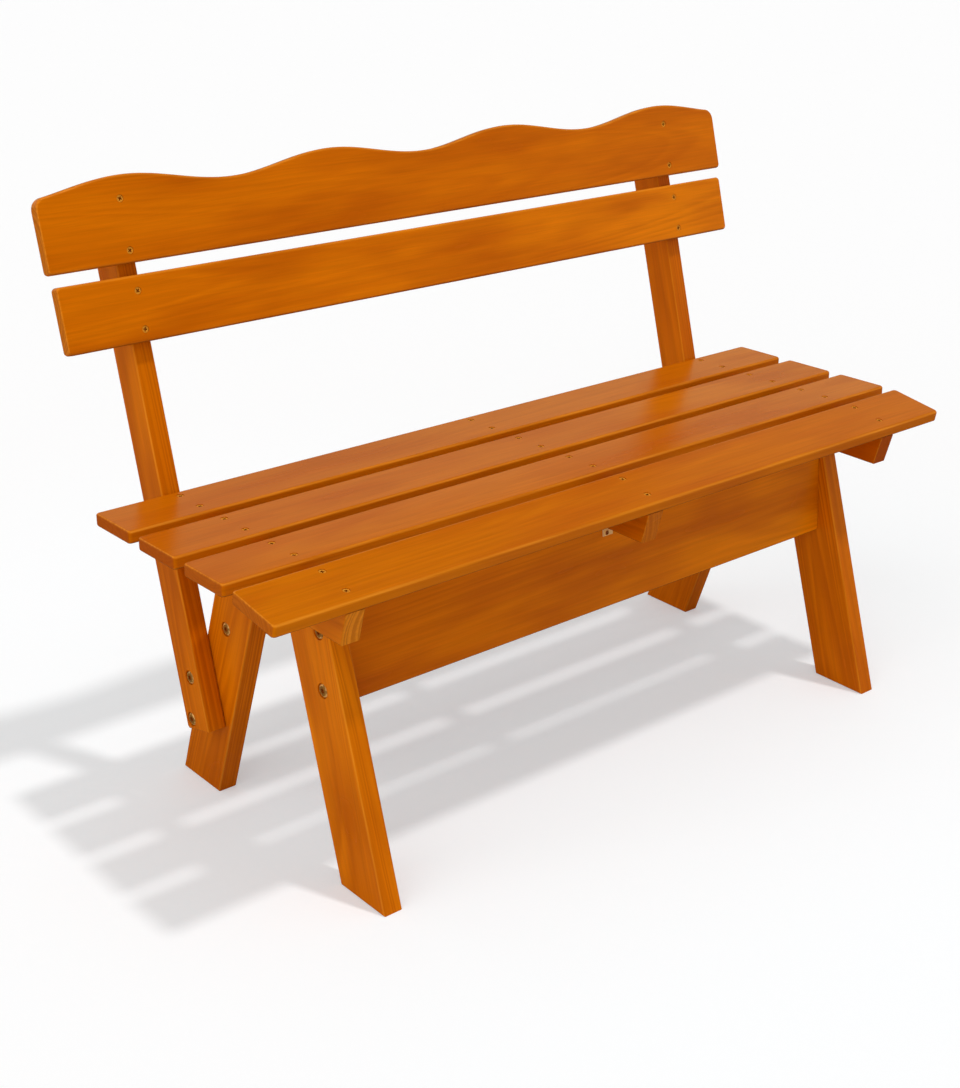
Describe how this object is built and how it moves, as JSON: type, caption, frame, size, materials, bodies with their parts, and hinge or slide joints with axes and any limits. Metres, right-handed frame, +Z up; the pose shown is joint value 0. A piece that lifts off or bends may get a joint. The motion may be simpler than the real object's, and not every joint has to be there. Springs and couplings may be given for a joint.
{
  "type": "garden bench",
  "caption": "Wooden garden bench with a slatted seat, splayed legs, long aprons and a raked back whose top board has a wavy edge.",
  "frame": {"origin": "on the floor, under the middle of the bench's bounding box", "axes": "+X to the right along the bench as a viewer in front of it sees it, +Y to the rear, +Z up"},
  "size_m": [1.2, 0.596, 0.8144],
  "materials": {
    "stained_pine": "honey-coloured stain and satin varnish on planed pine",
    "yellow_zinc": "yellow-passivated zinc plating on steel screws and bolts, slightly stained over",
    "bright_zinc": "bright zinc plating on a pressed steel bracket"
  },
  "bodies": {
    "root": {"apron_bolt_front_left_lower": "yellow_zinc", "apron_bolt_front_left_upper": "yellow_zinc", "apron_bolt_front_right_lower": "yellow_zinc", "apron_bolt_front_right_upper": "yellow_zinc", "apron_bolt_rear_left_lower": "yellow_zinc", "apron_bolt_rear_right_lower": "yellow_zinc", "apron_front": "stained_pine", "apron_rear": "stained_pine", "back_board_lower": "stained_pine", "back_board_upper": "stained_pine", "back_screw_lower_left_bottom": "yellow_zinc", "back_screw_lower_left_top": "yellow_zinc", "back_screw_lower_right_bottom": "yellow_zinc", "back_screw_lower_right_top": "yellow_zinc", "back_screw_upper_left_bottom": "yellow_zinc", "back_screw_upper_left_top": "yellow_zinc", "back_screw_upper_right_bottom": "yellow_zinc", "back_screw_upper_right_top": "yellow_zinc", "back_upright_left": "stained_pine", "back_upright_right": "stained_pine", "bearer_bracket": "bright_zinc", "leg_front_left": "stained_pine", "leg_front_right": "stained_pine", "leg_rear_left": "stained_pine", "leg_rear_right": "stained_pine", "seat_bearer_left": "stained_pine", "seat_bearer_middle": "stained_pine", "seat_bearer_right": "stained_pine", "seat_screw_1_left_front": "yellow_zinc", "seat_screw_1_left_rear": "yellow_zinc", "seat_screw_1_middle_front": "yellow_zinc", "seat_screw_1_middle_rear": "yellow_zinc", "seat_screw_1_right_front": "yellow_zinc", "seat_screw_1_right_rear": "yellow_zinc", "seat_screw_2_left_front": "yellow_zinc", "seat_screw_2_left_rear": "yellow_zinc", "seat_screw_2_middle_front": "yellow_zinc", "seat_screw_2_middle_rear": "yellow_zinc", "seat_screw_2_right_front": "yellow_zinc", "seat_screw_2_right_rear": "yellow_zinc", "seat_screw_3_left_front": "yellow_zinc", "seat_screw_3_left_rear": "yellow_zinc", "seat_screw_3_middle_front": "yellow_zinc", "seat_screw_3_middle_rear": "yellow_zinc", "seat_screw_3_right_front": "yellow_zinc", "seat_screw_3_right_rear": "yellow_zinc", "seat_screw_4_left_front": "yellow_zinc", "seat_screw_4_left_rear": "yellow_zinc", "seat_screw_4_middle_front": "yellow_zinc", "seat_screw_4_middle_rear": "yellow_zinc", "seat_screw_4_right_front": "yellow_zinc", "seat_screw_4_right_rear": "yellow_zinc", "seat_slat_1": "stained_pine", "seat_slat_2": "stained_pine", "seat_slat_3": "stained_pine", "seat_slat_4": "stained_pine", "upright_bolt_left_lower": "yellow_zinc", "upright_bolt_left_upper": "yellow_zinc", "upright_bolt_right_lower": "yellow_zinc", "upright_bolt_right_upper": "yellow_zinc"}
  },
  "joints": []
}
